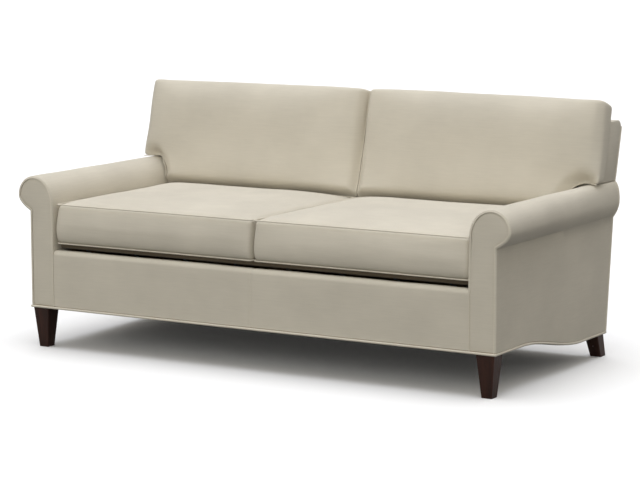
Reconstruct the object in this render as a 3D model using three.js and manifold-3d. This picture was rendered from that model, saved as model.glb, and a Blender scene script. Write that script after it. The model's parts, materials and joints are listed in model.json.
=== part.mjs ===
// A two-seat english roll arm sofa: a hardwood frame on four tapered legs, sinuous seat springs, padded
// arms whose rolls end in flat keyhole facings, two loose seat cushions and two loose back cushions with
// ears that reach out over the arms. Millimetres, +Z up. The front faces -Y, and left and right are as
// seen from the front. The origin is on the floor under the middle of the sofa.
import * as THREE from 'three';
import { mergeVertices } from 'three/addons/utils/BufferGeometryUtils.js';
import Module from 'manifold-3d';

const wasm = await Module();
wasm.setup();

// Upholstered body
const seatOpening = 1692; // clear width between the two arms
const armThickness = 102; // inside face to outside face
const baseDepth = 864; // front face to rear face, at the rear legs
const borderHeight = 360; // floor to the top of the padded front border
const lowerRakeAngle = 6.8; // lean of the rear face up to the arms, in degrees
const upperRakeAngle = 14.6; // lean of the rear face above the arms, in degrees
const ogeeStart = 195; // front face to where each side's lower edge starts to drop
const ogeeRearFlat = 204; // level stretch of that edge at the rear

// Arms
const armRise = 100; // seat cushion's top welt to the top of the roll
const rollRadius = 71; // outer half of the roll
const rollOverhang = 52; // how far the roll stands out past the outside face, in front
const rollRearOverhang = 27; // and at the rear, as the roll narrows towards the back
const shoulderRise = 95; // inner half of the roll, from the straight inside face to its top
const notchDrop = 128; // top of the roll down to where its underside meets the outside face
const rollTailRise = 28; // how far the underside of the roll climbs from there as it goes out

// Inside back
const backDepth = 126; // inside face to rear face, at the top of the arms
const backRise = 213; // top of the arms to the top of the frame behind the cushions
const insideRakeAngle = 16; // lean of the face behind the back cushions, in degrees
const backTopRadius = 26; // rounding along the top rear edge

// Upholstery layers
const clearance = 0.3; // between pieces that lie against each other
const coverThickness = 8; // fabric with its batting
const facingThickness = 6; // padded panel on the front of each arm
const rearPanelThickness = 5;
const insidePadThickness = 12; // foam on the inside face of each arm
const backPadThickness = 30; // foam on the inside back
const facingWeltRadius = 3.2; // welt cord round the arm facings
const facingWeltProud = 1; // how far that welt stands past the arm
const baseWeltRadius = 5; // welt cord round the lower edge
const baseWeltProud = 2;

// Hardwood frame
const armPostThickness = 22;
const borderThickness = 22;
const frontRailThickness = 32;
const sideRailThickness = 22;
const sideRailDrop = 10; // side rails' top below that of the front rail
const rearRailThickness = 24;
const backPostThickness = 38;
const backPostFootDepth = 91; // post's foot, front to rear
const backPostSetback = 10; // post's front edge behind the back padding
const backRailThickness = 25;
const topRailHeight = 70;
const lowerBackRailRise = 50; // front rail's top to the lower back rail
const lowerBackRailHeight = 50;
const centrePostWidth = 38;
const armBoardDrop = 67; // top of the roll down to the board under it
const armBoardThickness = 20;
const armSlatHeight = 50;
const armSlatThickness = 20;
const spreaderWidth = 40;
const spreaderHeight = 90;
const spreaderDrop = 10; // below the front rail's top, clear of the springs
const cornerBlockHeight = 40;
const cornerBlockReach = 78;

// Legs and the bolts that hold them
const frontLegHeight = 146;
const frontLegTopWidth = 67;
const frontLegFootWidth = 39;
const frontLegInset = 41; // leg's middle to the outside face
const frontLegSetback = 36; // leg's middle to the front face
const rearLegHeight = 86;
const rearLegTopWidth = 52;
const rearLegFootWidth = 42;
const rearLegInset = 36;
const rearLegSetback = 26; // middle of the leg's top to the rear face
const rearLegKick = 38; // how far the rear foot stands behind the leg's top
const legChamfer = 3;
const boltRadius = 4;
const boltInLeg = 45;
const boltInPost = 40; // rear bolts run up into the back posts
const boltSetback = 13; // front bolts behind the arm posts
const boltAboveNut = 6;
const nutAcrossCorners = 15;
const nutHeight = 6.5;

// Seat springs and deck
const springCount = 8;
const springWaves = 10;
const springWireRadius = 1.9;
const springHalfWidth = 24;
const springArch = 9.5; // rise at mid span
const springFrontInset = 18; // end of the wire behind the front rail's face
const springRearInset = 10;
const deckThickness = 19.4;
const deckSetback = 45; // behind the front face
const deckSideGap = 2;
const borderSetback = 2;
const borderTopRadius = 16;
const borderLapDepth = 12; // top of the border lapped over the front rail
const borderLapThickness = 9;
const dustCoverThickness = 1.5;
const dustCoverHem = 15; // outside face to the edge of the dust cover
const dustCoverLegGap = 4;

// Back webbing
const strapThickness = 2;
const strapWidth = 50;
const strapColumns = 10;
const strapRows = 2;

// Seat cushions
const seatBoxing = 143; // height of the boxing between its two welts
const seatCrown = 27;
const seatSetback = 16; // boxing behind the front face
const seatSideGap = 8; // from the seams to the arm, and to the middle of the sofa
const seatRearGap = 8; // to the inside back, along the deck
const seatBulge = 6; // swell of the boxing at mid height
const seatDrawIn = 4; // how far the long seams pull in between the corners
const seatWrap = 14; // cover and fibre wrap over the foam

// Back cushions
const backCushionLength = 398; // lower seam to upper seam, along the inside back
const backCushionEdge = 76; // thickness at the seams
const backCushionCrown = 34; // swell of the front in the middle
const backCushionShoulder = 21; // how much thicker it is along its top than along its foot
const backCushionRounding = 17; // rounding of the front along the top
const backCushionTopCrown = 8;
const backCushionGap = 3; // half the gap between the two, and to the arm
const earReach = 15; // how far the ear stands out past the arm's outside face
const earGap = 11; // top of the roll to the ear's underside
const earHollowWidth = 63; // rounded hollow in the cushion's edge where it goes round the roll
const earHollowHeight = 88;
const earCornerRadius = 16;
const backCornerRadius = 14; // upper outer corners
const backRestGap = 0.8; // over the seat cushion's top
const backWrap = 12; // cover over the fibre fill

// Slots for the cushions' zips
const zipWidth = 14;
const zipMargin = 120; // from each end of the seam that the zip runs in

// Facets
const weldTolerance = 1e-3;
const roundSegments = 10; // to a quarter turn
const ogeeSegments = 12;
const weltSides = 8;
const rollWeltSteps = 36;
const wireSides = 4;
const stepsPerWave = 6;
const boltSides = 12;
const nutSides = 6;
const seatGrid = [14, 12, 4]; // across, front to rear, bottom to top
const seatCoreGrid = [6, 6, 2];
const backGrid = [14, 3, 16];
const backCoreGrid = [8, 2, 8];
const overrun = 20; // how far a cutting solid runs past what it cuts

const fabric = new THREE.MeshStandardMaterial({ color: 0xb5ad9b, roughness: 0.85 });
const weltFabric = new THREE.MeshStandardMaterial({ color: 0xbcb4a3, roughness: 0.85 });
const decking = new THREE.MeshStandardMaterial({ color: 0x3a3428, roughness: 0.95 });
const darkWood = new THREE.MeshStandardMaterial({ color: 0x2f1d17, roughness: 0.4 });
const frameWood = new THREE.MeshStandardMaterial({ color: 0xc9a878, roughness: 0.7 });
const foam = new THREE.MeshStandardMaterial({ color: 0xe8dfc0, roughness: 0.95 });
const steel = new THREE.MeshStandardMaterial({ color: 0x8a8d90, roughness: 0.35, metalness: 1 });
const strapCloth = new THREE.MeshStandardMaterial({ color: 0xd8d2c2, roughness: 0.9 });
const cambric = new THREE.MeshStandardMaterial({ color: 0x1b1b1c, roughness: 0.95 });

// Heights worked out from the sizes above
const railTop = borderHeight - borderLapThickness - clearance;
const sideRailTop = railTop - sideRailDrop;
const deckBottom = railTop + 2 * springWireRadius + springArch + 2 * clearance;
const seatBottom = deckBottom + deckThickness + clearance;
const seatEdge = seatBottom + seatBoxing;
const armHeight = seatEdge + armRise;
const backHeight = armHeight + backRise;
const notchZ = armHeight - notchDrop;
const shoulderZ = armHeight - shoulderRise;
const rollCentreZ = armHeight - rollRadius;
const armBoardTop = armHeight - armBoardDrop;
const armBoardBottom = armBoardTop - armBoardThickness;
const lowerBackRailBottom = railTop + lowerBackRailRise;
const lowerBackRailTop = lowerBackRailBottom + lowerBackRailHeight;
const topRailTop = backHeight - coverThickness - clearance;
const topRailBottom = topRailTop - topRailHeight;

// Widths and depths worked out from the sizes above
const halfOpening = seatOpening / 2;
const bodyHalf = halfOpening + armThickness;
const rollEdgeX = bodyHalf + rollOverhang;
const rollCentreX = rollEdgeX - rollRadius;
const frameOuterX = bodyHalf - coverThickness - clearance;
const railEndX = halfOpening + coverThickness;
const backRailEndX = frameOuterX - backPostThickness - clearance;
const coverFrontY = facingThickness + clearance;
const postFrontY = 2 * baseWeltRadius - baseWeltProud + clearance;
const postRearY = postFrontY + armPostThickness;
const borderRearY = borderSetback + borderThickness;
const frontRailY = borderRearY + clearance;
const frontRailRearY = frontRailY + frontRailThickness;
const ogeeEnd = baseDepth - ogeeRearFlat;
const coverLift = 2 * baseWeltRadius + clearance; // the covers stop above the base welt
const tailAngle = Math.atan2(rollTailRise, rollOverhang);

const slope = degrees => Math.tan(THREE.MathUtils.degToRad(degrees));
const { lerp, smoothstep } = THREE.MathUtils;

// Height of the base's lower edge at a depth y: an ogee between the tall front and short rear legs
const skirt = y => frontLegHeight
  - (frontLegHeight - rearLegHeight) * smoothstep((y - ogeeStart) / (ogeeEnd - ogeeStart), 0, 1);

// Rear face and inside face of the back at a height z
const rearFace = z => baseDepth
  + slope(lowerRakeAngle) * (Math.min(z, armHeight) - rearLegHeight)
  + slope(upperRakeAngle) * Math.max(0, z - armHeight);
const insideBack = rearFace(armHeight) - backDepth;
const insideFace = z => insideBack + slope(insideRakeAngle) * (z - armHeight);

const rearRailRearY = rearFace(rearLegHeight) - postFrontY;
const rearRailFrontY = rearRailRearY - rearRailThickness;
const postFootFrontY = rearRailRearY - backPostFootDepth;
const backFrameFront = z => insideFace(z) + coverThickness + backPadThickness + backPostSetback;
const backPostFront = z => Math.max(postFootFrontY, backFrameFront(z));

// A closed surface with shared vertices, as a manifold solid, and back again
function toSolid(geometry) {
  const bare = geometry.index ? geometry.toNonIndexed() : geometry.clone();
  bare.deleteAttribute('normal');
  bare.deleteAttribute('uv');
  const merged = mergeVertices(bare, weldTolerance);
  return new wasm.Manifold(new wasm.Mesh({
    numProp: 3,
    vertProperties: new Float32Array(merged.attributes.position.array),
    triVerts: new Uint32Array(merged.index.array),
  }));
}

function toGeometry(solid) {
  const { vertProperties, triVerts } = solid.getMesh();
  const geometry = new THREE.BufferGeometry();
  geometry.setAttribute('position', new THREE.BufferAttribute(new Float32Array(vertProperties), 3));
  geometry.setIndex(new THREE.BufferAttribute(new Uint32Array(triVerts), 1));
  return geometry;
}

const joined = geometries => geometries.map(toSolid).reduce((whole, next) => whole.add(next));

const extrude = (shape, depth) => new THREE.ExtrudeGeometry(
  shape,
  { depth, bevelEnabled: false, curveSegments: roundSegments }
);

// An outline in depth and height, pulled along the width from x0 to x1
function alongX(shape, x0, x1) {
  const turn = new THREE.Matrix4().makeBasis(
    new THREE.Vector3(0, 1, 0),
    new THREE.Vector3(0, 0, 1),
    new THREE.Vector3(1, 0, 0)
  );
  return extrude(shape, x1 - x0).applyMatrix4(turn).translate(x0, 0, 0);
}

// An outline in width and height, pulled from y0 to y1
const alongY = (shape, y0, y1) => extrude(shape, y1 - y0).rotateX(Math.PI / 2).translate(0, y1, 0);

// An outline in width and depth, pulled from z0 to z1
const alongZ = (shape, z0, z1) => extrude(shape, z1 - z0).translate(0, 0, z0);

const outline = points => new THREE.Shape(points.map(([a, b]) => new THREE.Vector2(a, b)));

const board = (x0, x1, y0, y1, z0, z1) => new THREE.BoxGeometry(x1 - x0, y1 - y0, z1 - z0)
  .translate((x0 + x1) / 2, (y0 + y1) / 2, (z0 + z1) / 2);

const upright = (x, y, z0, z1, radius, sides) => new THREE.CylinderGeometry(radius, radius, z1 - z0, sides)
  .rotateX(Math.PI / 2)
  .translate(x, y, (z0 + z1) / 2);

// A round cord along a route, which gives a point for each share of its length
function cord(route, radius, sides, steps) {
  const path = new THREE.Curve();
  path.getPoint = share => route(share);
  const section = new THREE.Shape().absarc(0, 0, radius, 0, 2 * Math.PI, false);
  return new THREE.ExtrudeGeometry(section, { steps, extrudePath: path, curveSegments: sides / 2 });
}

const straightCord = (from, to, radius) => cord(
  share => new THREE.Vector3().lerpVectors(from, to, share), radius, weltSides, 1
);

const bead = (centre, radius) => new THREE.SphereGeometry(radius, weltSides, weltSides / 2)
  .translate(centre.x, centre.y, centre.z);

const sofa = new THREE.Group();

function piece(name, geometry, material, parent = sofa) {
  const mesh = new THREE.Mesh(geometry, material);
  mesh.name = name;
  parent.add(mesh);
  return mesh;
}

// The right arm's roll, moved in by inset, from its notch out and over to the straight inside face
function rollPath(inset, path) {
  const lift = inset * (1 - Math.sin(tailAngle)) / Math.cos(tailAngle);
  const edgeX = rollEdgeX - inset;
  path.moveTo(bodyHalf - inset, notchZ + lift);
  path.quadraticCurveTo(edgeX, notchZ + rollTailRise + lift, edgeX, rollCentreZ);
  path.absarc(rollCentreX, rollCentreZ, rollRadius - inset, 0, Math.PI / 2, false);
  path.absellipse(
    rollCentreX, shoulderZ,
    rollCentreX - halfOpening - inset, shoulderRise - inset,
    Math.PI / 2, Math.PI, false, 0
  );
  return path;
}

// The right arm's whole section, moved in by inset: the roll over two straight faces
function armProfile(inset, bottom) {
  const shape = rollPath(inset, new THREE.Shape());
  shape.lineTo(halfOpening + inset, bottom);
  shape.lineTo(bodyHalf - inset, bottom);
  return shape;
}

// The right arm's section pulled from y0 to y1. Past the outside face its roll narrows to the rear.
function armBar(inset, bottom, y0, y1) {
  const geometry = alongY(armProfile(inset, bottom), y0, y1);
  const position = geometry.attributes.position;
  for (let i = 0; i < position.count; i++) {
    const out = position.getX(i) - bodyHalf;
    const narrowing = lerp(1, rollRearOverhang / rollOverhang, position.getY(i) / rearFace(armHeight));
    position.setX(i, bodyHalf + (out > 0 ? out * narrowing : out));
  }
  return toSolid(geometry);
}
const pastArm = rearFace(armHeight) + overrun;

// What lies under the ogee line, as a cutter the width of the sofa
function underSkirt(lift) {
  const far = baseDepth + bodyHalf;
  const points = [[far, skirt(far) + lift], [far, -overrun], [-overrun, -overrun], [-overrun, skirt(0) + lift]];
  for (let i = 0; i <= ogeeSegments; i++) {
    const y = lerp(ogeeStart, ogeeEnd, i / ogeeSegments);
    points.push([y, skirt(y) + lift]);
  }
  return toSolid(alongX(outline(points), -rollEdgeX - overrun, rollEdgeX + overrun));
}

// What lies behind the rear face less an inset, as a cutter the width of the sofa
function behindRear(inset) {
  const far = baseDepth + bodyHalf;
  const top = backHeight + overrun;
  const points = [
    [far, -overrun],
    [far, top],
    [rearFace(top) - inset, top],
    [rearFace(armHeight) - inset, armHeight],
    [rearFace(-overrun) - inset, -overrun],
  ];
  return toSolid(alongX(outline(points), -rollEdgeX - overrun, rollEdgeX + overrun));
}

// A board lying in the raked plane of the back frame, set back from that frame's front
function rakedBoard(x0, x1, z0, z1, setback, thickness) {
  const front = z => backFrameFront(z) + setback;
  const points = [
    [front(z0), z0], [front(z0) + thickness, z0], [front(z1) + thickness, z1], [front(z1), z1],
  ];
  return alongX(outline(points), x0, x1);
}

// Tapered square leg with eased arrises, its foot moved back by kick
function taperedLeg(topWidth, footWidth, height, kick) {
  const cutShare = 2 * legChamfer / topWidth;
  const corners = [
    [1 - cutShare, -1], [1, cutShare - 1], [1, 1 - cutShare], [1 - cutShare, 1],
    [cutShare - 1, 1], [-1, 1 - cutShare], [-1, cutShare - 1], [cutShare - 1, -1],
  ];
  const geometry = extrude(outline(corners), 1);
  const position = geometry.attributes.position;
  for (let i = 0; i < position.count; i++) {
    const riseShare = position.getZ(i);
    const halfWidth = lerp(footWidth, topWidth, riseShare) / 2;
    position.setXYZ(
      i,
      position.getX(i) * halfWidth,
      position.getY(i) * halfWidth + kick * (1 - riseShare),
      (height - clearance) * riseShare
    );
  }
  return geometry;
}

// Front legs under the arm posts, rear legs under the back posts, and the bolts up into them
const frontLegX = bodyHalf - frontLegInset;
const rearLegX = bodyHalf - rearLegInset;
const rearLegY = baseDepth - rearLegSetback;
const frontBoltY = postRearY + boltSetback;
const frontBlockTop = frontLegHeight + cornerBlockHeight;
const boltHole = (x, y, z0, z1) => toSolid(upright(x, y, z0, z1, boltRadius + clearance, boltSides));

const frontLeg = toSolid(
  taperedLeg(frontLegTopWidth, frontLegFootWidth, frontLegHeight, 0).translate(frontLegX, frontLegSetback, 0)
).subtract(boltHole(
  frontLegX, frontBoltY, frontLegHeight - boltInLeg - clearance, frontLegHeight + overrun
));

const rearLeg = toSolid(
  taperedLeg(rearLegTopWidth, rearLegFootWidth, rearLegHeight, rearLegKick).translate(rearLegX, rearLegY, 0)
).subtract(boltHole(
  rearLegX, rearLegY, rearLegHeight - boltInLeg - clearance, rearLegHeight + overrun
));

const nutZ = frontBlockTop + clearance;
const frontBolt = joined([
  upright(frontLegX, frontBoltY, frontLegHeight - boltInLeg, nutZ + nutHeight + boltAboveNut, boltRadius, boltSides),
  upright(frontLegX, frontBoltY, nutZ, nutZ + nutHeight, nutAcrossCorners / 2, nutSides),
]);

const rearBolt = toSolid(upright(
  rearLegX, rearLegY, rearLegHeight - boltInLeg, rearLegHeight + boltInPost, boltRadius, boltSides
));

// Triangular glue block in a corner of the frame; reachX and reachY carry its direction
const cornerBlock = (x, y, reachX, reachY, bottom) => toSolid(alongZ(
  outline([[x, y], [x + reachX, y], [x, y + reachY]]), bottom, bottom + cornerBlockHeight
));

const frontBlock = cornerBlock(
  frameOuterX - sideRailThickness - clearance, postRearY + clearance,
  -cornerBlockReach, cornerBlockReach, frontLegHeight
)
  .subtract(toSolid(board(
    0, railEndX + clearance, 0, frontRailRearY + clearance, 0, frontBlockTop + overrun
  )))
  .subtract(boltHole(frontLegX, frontBoltY, 0, frontBlockTop + overrun));

const rearBlock = cornerBlock(
  backRailEndX, rearRailFrontY - clearance, -cornerBlockReach, -cornerBlockReach, rearLegHeight
);

// Side rail, its lower edge cut to the ogee
const sideRail = toSolid(board(
  frameOuterX - sideRailThickness, frameOuterX,
  postRearY + clearance, postFootFrontY - clearance,
  rearLegHeight, sideRailTop
)).subtract(underSkirt(0));

// Arm frame: a keyhole post in front, a board under the roll, and a slat that the inside cloth is tacked to
const armPost = armBar(coverThickness + clearance, frontLegHeight, postFrontY, postRearY);
const armFrameInnerX = halfOpening + coverThickness + insidePadThickness + clearance;
const armBoard = board(
  armFrameInnerX, frameOuterX,
  postRearY + clearance, backPostFront(armBoardBottom) - clearance,
  armBoardBottom, armBoardTop
);
const armSlat = board(
  armFrameInnerX, armFrameInnerX + armSlatThickness,
  postRearY + clearance, backPostFront(sideRailTop) - clearance,
  sideRailTop, sideRailTop + armSlatHeight
);

// Back post: upright at its foot, raked in front, and cut to the rear face behind
function backPost() {
  const rear = z => rearFace(z) - rearPanelThickness - clearance;
  const kneeZ = armHeight + (postFootFrontY - backFrameFront(armHeight)) / slope(insideRakeAngle);
  const aboveWelt = rearLegHeight + coverLift;
  const points = [
    [postFootFrontY, rearLegHeight],
    [rearRailRearY, rearLegHeight],
    [rearRailRearY, aboveWelt],
    [rear(aboveWelt), aboveWelt],
    [rear(armHeight), armHeight],
    [rear(topRailTop - backTopRadius), topRailTop - backTopRadius],
    [rear(topRailTop - backTopRadius) - backTopRadius, topRailTop],
    [backFrameFront(topRailTop), topRailTop],
    [postFootFrontY, kneeZ],
  ];
  const bolt = boltHole(rearLegX, rearLegY, 0, rearLegHeight + boltInPost + clearance);
  return toSolid(alongX(outline(points), frameOuterX - backPostThickness, frameOuterX)).subtract(bolt);
}

// Slot that the back post takes up through the top of the roll
const postSlot = toSolid(board(
  frameOuterX - backPostThickness - clearance, frameOuterX + clearance,
  backPostFront(armBoardTop) - clearance, baseDepth + bodyHalf,
  armBoardTop, armHeight + overrun
));

// Fabric and batting over the whole arm: inside face, roll, and outside face down to the base welt
function armCover() {
  const bottom = rearLegHeight;
  const innerX = halfOpening - overrun;
  const pastX = halfOpening + coverThickness + overrun;
  const underDeck = board(innerX, pastX, -overrun, pastArm + overrun, -overrun, railTop + clearance);
  const lowerRailEnd = rakedBoard(
    innerX, pastX,
    lowerBackRailBottom - clearance, lowerBackRailTop + clearance,
    -clearance, backRailThickness + 2 * clearance
  );
  return armBar(0, bottom, coverFrontY, pastArm)
    .subtract(armBar(coverThickness, bottom - overrun, 0, pastArm + overrun))
    .subtract(toSolid(underDeck))
    .subtract(toSolid(lowerRailEnd))
    .subtract(postSlot)
    .subtract(underSkirt(coverLift))
    .subtract(behindRear(rearPanelThickness + clearance));
}

// Foam that forms the roll over the arm board and pads the inside face, cut off at the inside back
function armPadding() {
  const start = postRearY + clearance;
  const end = backPostFront(armBoardTop) - clearance;
  const inset = coverThickness + clearance;
  const frameZone = board(
    armFrameInnerX - clearance, frameOuterX + clearance,
    start - overrun, end + overrun,
    0, armBoardTop + clearance
  );
  const cut = z => insideFace(z) + coverThickness;
  const behindInside = alongX(outline([
    [end + bodyHalf, 0], [end + bodyHalf, armBoardTop], [cut(armBoardTop), armBoardTop], [cut(0), 0],
  ]), 0, bodyHalf);
  const reach = board(0, rollEdgeX, start, end, 0, armHeight);
  return armBar(inset, railTop + clearance, 0, pastArm + overrun)
    .intersect(toSolid(reach))
    .subtract(toSolid(frameZone))
    .subtract(toSolid(behindInside));
}

// Padded panel on the front of the arm, stepped in behind the welt
const facingInset = 2 * facingWeltRadius - facingWeltProud + clearance;
const facingBottom = frontLegHeight + coverLift;
const armFacing = toSolid(alongY(armProfile(facingInset, facingBottom), 0, facingThickness))
  .add(armBar(coverThickness + clearance, facingBottom, 0, postFrontY - clearance));

// Welt cord round the edge of the facing, from the base up, over the roll and down again
function facingWelt() {
  const inset = facingWeltRadius - facingWeltProud;
  const y = coverFrontY - clearance - facingWeltRadius;
  const place = (x, z) => new THREE.Vector3(x, y, z);
  const roll = rollPath(inset, new THREE.Path());
  const route = share => {
    const { x, y: z } = roll.getPoint(share);
    return place(x, z);
  };
  const notch = route(0);
  const shoulder = route(1);
  return joined([
    cord(route, facingWeltRadius, weltSides, rollWeltSteps),
    straightCord(place(notch.x, facingBottom), notch, facingWeltRadius),
    straightCord(shoulder, place(shoulder.x, facingBottom), facingWeltRadius),
    bead(notch, facingWeltRadius),
    bead(shoulder, facingWeltRadius),
  ]);
}

const armPieces = {
  leg_front: [frontLeg, darkWood],
  leg_rear: [rearLeg, darkWood],
  leg_bolt_front: [frontBolt, steel],
  leg_bolt_rear: [rearBolt, steel],
  corner_block_front: [frontBlock, frameWood],
  corner_block_rear: [rearBlock, frameWood],
  side_rail: [sideRail, frameWood],
  arm_post: [armPost, frameWood],
  arm_board: [toSolid(armBoard), frameWood],
  arm_slat: [toSolid(armSlat), frameWood],
  back_post: [backPost(), frameWood],
  arm_padding: [armPadding(), foam],
  arm_cover: [armCover(), fabric],
  arm_facing: [armFacing, fabric],
  arm_facing_welt: [facingWelt(), weltFabric],
};

// Rails that cross the sofa
piece('front_rail', board(
  -railEndX, railEndX, frontRailY, frontRailRearY, frontLegHeight, railTop
), frameWood);
piece('rear_rail', board(
  -backRailEndX, backRailEndX, rearRailFrontY, rearRailRearY, rearLegHeight, railTop
), frameWood);
const spreaderTop = railTop - spreaderDrop;
piece('seat_spreader', board(
  -spreaderWidth / 2, spreaderWidth / 2,
  frontRailRearY + clearance, rearRailFrontY - clearance,
  spreaderTop - spreaderHeight, spreaderTop
), frameWood);
piece('back_top_rail', rakedBoard(
  -backRailEndX, backRailEndX, topRailBottom, topRailTop, 0, backRailThickness
), frameWood);
piece('back_lower_rail', rakedBoard(
  -backRailEndX, backRailEndX, lowerBackRailBottom, lowerBackRailTop, 0, backRailThickness
), frameWood);
piece('back_centre_post', rakedBoard(
  -centrePostWidth / 2, centrePostWidth / 2,
  lowerBackRailTop + clearance, topRailBottom - clearance, 0, backRailThickness
), frameWood);

// Straps up and across the inside back, woven into one net and stretched between the two back rails
function backWebbing() {
  const bottom = lowerBackRailBottom + clearance;
  const top = topRailTop - clearance;
  const halfWidth = halfOpening - strapWidth / 2;
  const pitch = 2 * halfWidth / strapColumns;
  const front = -clearance - strapThickness;
  const straps = [];
  for (let i = 0; i < strapColumns; i++) {
    const x = pitch * (i + 0.5) - halfWidth;
    straps.push(rakedBoard(x - strapWidth / 2, x + strapWidth / 2, bottom, top, front, strapThickness));
  }
  for (let j = 1; j <= strapRows; j++) {
    const z = lerp(bottom, top, j / (strapRows + 1));
    straps.push(rakedBoard(-halfWidth, halfWidth, z - strapWidth / 2, z + strapWidth / 2, front, strapThickness));
  }
  return joined(straps);
}
piece('back_webbing', toGeometry(backWebbing()), strapCloth);

// The back seen from the front: between the arms below, then round the rolls to its full width
function backFront(halfWidth, bottom, top) {
  const narrow = halfOpening - clearance;
  const shoulder = armHeight + clearance;
  const roundX = rollCentreX - narrow;
  const roundZ = shoulder - shoulderZ;
  const shape = new THREE.Shape();
  shape.moveTo(-narrow, bottom);
  shape.lineTo(narrow, bottom);
  shape.absellipse(rollCentreX, shoulderZ, roundX, roundZ, Math.PI, Math.PI / 2, true, 0);
  shape.lineTo(halfWidth, shoulder);
  shape.lineTo(halfWidth, top);
  shape.lineTo(-halfWidth, top);
  shape.lineTo(-halfWidth, shoulder);
  shape.absellipse(-rollCentreX, shoulderZ, roundX, roundZ, Math.PI / 2, 0, true, 0);
  return shape;
}

// Fabric and batting over the front, top and ends of the back, open at the rear and underneath
function backCover() {
  const inset = rearPanelThickness + clearance;
  const reach = bodyHalf + overrun;
  const deep = rearFace(backHeight) + overrun;
  const cornerZ = backHeight - backTopRadius;
  const section = new THREE.Shape();
  section.moveTo(insideFace(deckBottom), deckBottom);
  section.lineTo(rearFace(deckBottom) - inset, deckBottom);
  section.lineTo(rearFace(armHeight) - inset, armHeight);
  section.lineTo(rearFace(cornerZ) - inset, cornerZ);
  section.absarc(
    rearFace(cornerZ) - inset - backTopRadius, cornerZ, backTopRadius, 0, Math.PI / 2, false
  );
  section.lineTo(insideFace(backHeight), backHeight);
  const hollowTop = backHeight - coverThickness;
  const hollow = outline([
    [insideFace(0) + coverThickness, 0],
    [deep, 0],
    [deep, cornerZ - overrun],
    [rearFace(cornerZ), cornerZ - coverThickness],
    [rearFace(cornerZ) - backTopRadius, hollowTop],
    [insideFace(hollowTop) + coverThickness, hollowTop],
  ]);
  return toSolid(alongY(backFront(bodyHalf, deckBottom, backHeight), 0, deep))
    .intersect(toSolid(alongX(section, -reach, reach)))
    .subtract(toSolid(alongX(hollow, coverThickness - bodyHalf, bodyHalf - coverThickness)));
}
piece('back_cover', toGeometry(backCover()), fabric);

function backPadding() {
  const inset = coverThickness + clearance;
  const top = backHeight - inset;
  const start = z => insideFace(z) + inset;
  const end = z => start(z) + backPadThickness - clearance;
  const section = outline([
    [start(deckBottom), deckBottom], [end(deckBottom), deckBottom], [end(top), top], [start(top), top],
  ]);
  return toSolid(alongY(backFront(bodyHalf - inset, deckBottom, top), 0, rearFace(backHeight)))
    .intersect(toSolid(alongX(section, -bodyHalf, bodyHalf)));
}
piece('back_padding', toGeometry(backPadding()), foam);

// Outside back: one panel bent at arm height, with lobes that close the rear ends of the rolls
function outsideBack() {
  const bottom = rearLegHeight + coverLift;
  const top = backHeight - backTopRadius;
  const front = z => rearFace(z) - rearPanelThickness;
  const band = outline([
    [front(0), 0], [rearFace(0), 0], [rearFace(armHeight), armHeight], [rearFace(top), top],
    [front(top), top], [front(armHeight), armHeight],
  ]);
  const deep = rearFace(top) + overrun;
  const body = alongY(
    outline([[-bodyHalf, bottom], [bodyHalf, bottom], [bodyHalf, top], [-bodyHalf, top]]), 0, deep
  );
  const lobe = armBar(0, bottom, 0, deep);
  return toSolid(body)
    .add(lobe)
    .add(lobe.scale([-1, 1, 1]))
    .intersect(toSolid(alongX(band, -rollEdgeX - overrun, rollEdgeX + overrun)));
}
piece('outside_back', toGeometry(outsideBack()), fabric);

// Front border: padded panel between the arms, its top edge rounded and lapped over the front rail
function frontBorder() {
  const lapUnder = borderHeight - borderLapThickness;
  const end = halfOpening - facingWeltProud - clearance;
  const shape = new THREE.Shape();
  shape.moveTo(borderSetback, facingBottom);
  shape.lineTo(postFrontY, facingBottom);
  shape.lineTo(postFrontY, frontLegHeight);
  shape.lineTo(borderRearY, frontLegHeight);
  shape.lineTo(borderRearY, lapUnder);
  shape.lineTo(frontRailY + borderLapDepth, lapUnder);
  shape.lineTo(frontRailY + borderLapDepth, borderHeight);
  shape.absarc(
    borderSetback + borderTopRadius, borderHeight - borderTopRadius, borderTopRadius,
    Math.PI / 2, Math.PI, false
  );
  return alongX(shape, -end, end);
}
piece('front_border', frontBorder(), fabric);

// Welt cord round the lower edge of the base, level at the front and following the ogee on each side
function baseWelt() {
  const x = bodyHalf + baseWeltProud - baseWeltRadius;
  const frontY = baseWeltRadius - baseWeltProud;
  const rearY = rearFace(rearLegHeight) - frontY;
  const spot = (atX, y) => new THREE.Vector3(atX, y, skirt(y) + baseWeltRadius);
  const sideCord = sideX => cord(
    share => spot(sideX, lerp(frontY, rearY, share)), baseWeltRadius, weltSides, 2 * ogeeSegments
  );
  return joined([
    straightCord(spot(-x, frontY), spot(x, frontY), baseWeltRadius),
    sideCord(x),
    straightCord(spot(x, rearY), spot(-x, rearY), baseWeltRadius),
    sideCord(-x),
    ...[frontY, rearY].flatMap(y => [x, -x].map(sideX => bead(spot(sideX, y), baseWeltRadius))),
  ]);
}
piece('base_welt', toGeometry(baseWelt()), weltFabric);

// Seat deck: padded platform cloth over the springs, which the seat cushions lie on
piece('seat_deck', board(
  deckSideGap - halfOpening, halfOpening - deckSideGap,
  deckSetback, insideFace(deckBottom) - clearance,
  deckBottom, deckBottom + deckThickness
), decking);

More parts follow.
